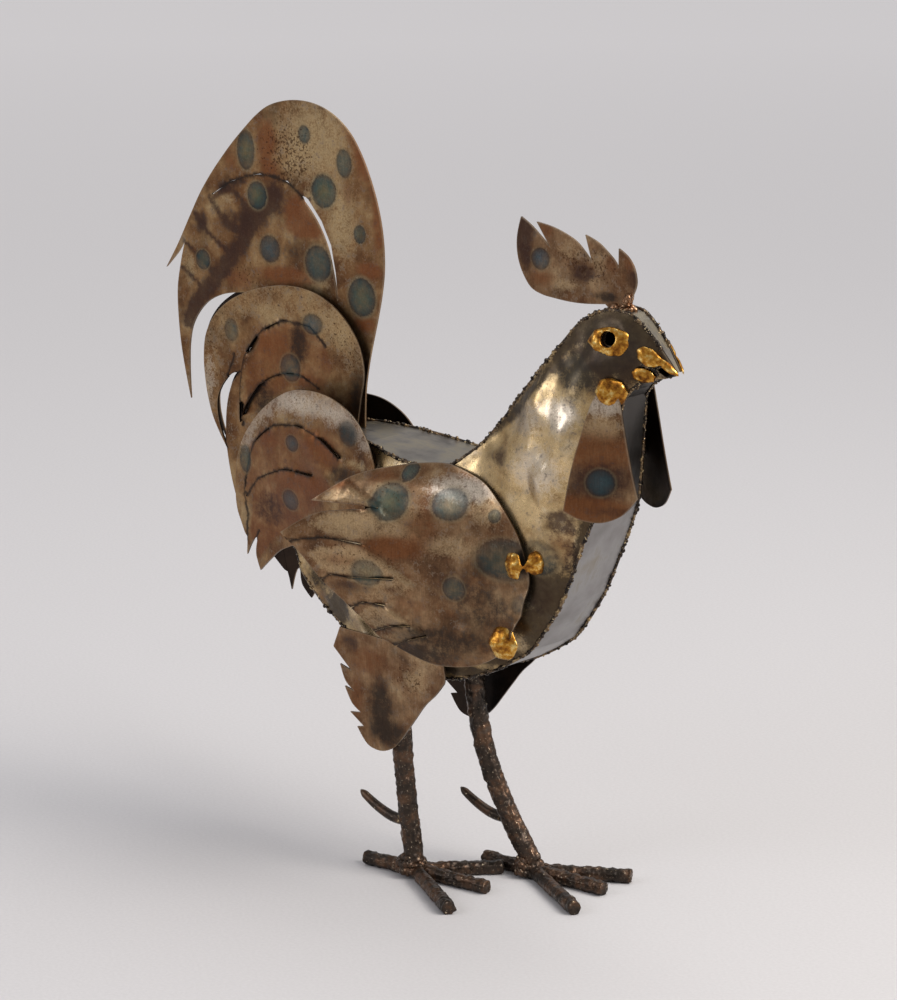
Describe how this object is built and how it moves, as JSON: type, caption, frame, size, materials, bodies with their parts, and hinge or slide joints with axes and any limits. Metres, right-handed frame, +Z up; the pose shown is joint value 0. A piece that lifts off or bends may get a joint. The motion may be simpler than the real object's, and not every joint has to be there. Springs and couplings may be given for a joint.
{
  "type": "scrap metal rooster sculpture",
  "caption": "Free-standing rooster welded from heat-tinted sheet steel, with layered sickle tail, flared wings, comb, wattles and brazed brass details, on rod legs with splayed toes.",
  "frame": {"origin": "on the floor, under the middle of the bounding box", "axes": "+X the way the rooster looks, +Y its left side, +Z up"},
  "size_m": [0.4898, 0.1944, 0.5459],
  "materials": {
    "tinted_sheet": "torch-tinted sheet steel with blue-green heat discs and rust",
    "dark_sheet": "torch-tinted sheet steel, darker and plainer",
    "grey_strip": "plain mill sheet with faint straw tint",
    "brazed_brass": "brazing brass melted into beads",
    "crusted_rod": "bar covered with brown weld crust"
  },
  "bodies": {
    "root": {"back_strip": "grey_strip", "beak_lower_brass_left": "brazed_brass", "beak_lower_brass_right": "brazed_brass", "beak_upper_brass_left": "brazed_brass", "beak_upper_brass_right": "brazed_brass", "breast_strip": "grey_strip", "comb": "tinted_sheet", "ear_brass_left": "brazed_brass", "ear_brass_right": "brazed_brass", "eye_ring_left": "brazed_brass", "eye_ring_right": "brazed_brass", "flank_left": "tinted_sheet", "flank_right": "tinted_sheet", "leg_left": "crusted_rod", "leg_right": "crusted_rod", "spur_left": "crusted_rod", "spur_right": "crusted_rod", "tail_mid_left": "tinted_sheet", "tail_mid_right": "tinted_sheet", "tail_side_left": "dark_sheet", "tail_side_right": "tinted_sheet", "tail_top": "tinted_sheet", "thigh_left": "dark_sheet", "thigh_right": "tinted_sheet", "toe_inner_left": "crusted_rod", "toe_inner_right": "crusted_rod", "toe_middle_left": "crusted_rod", "toe_middle_right": "crusted_rod", "toe_outer_left": "crusted_rod", "toe_outer_right": "crusted_rod", "wattle_left": "tinted_sheet", "wattle_right": "tinted_sheet", "wing_left": "tinted_sheet", "wing_right": "tinted_sheet", "wing_tack_lower_left": "brazed_brass", "wing_tack_lower_right": "brazed_brass", "wing_tack_upper_left": "brazed_brass", "wing_tack_upper_right": "brazed_brass"}
  },
  "joints": []
}
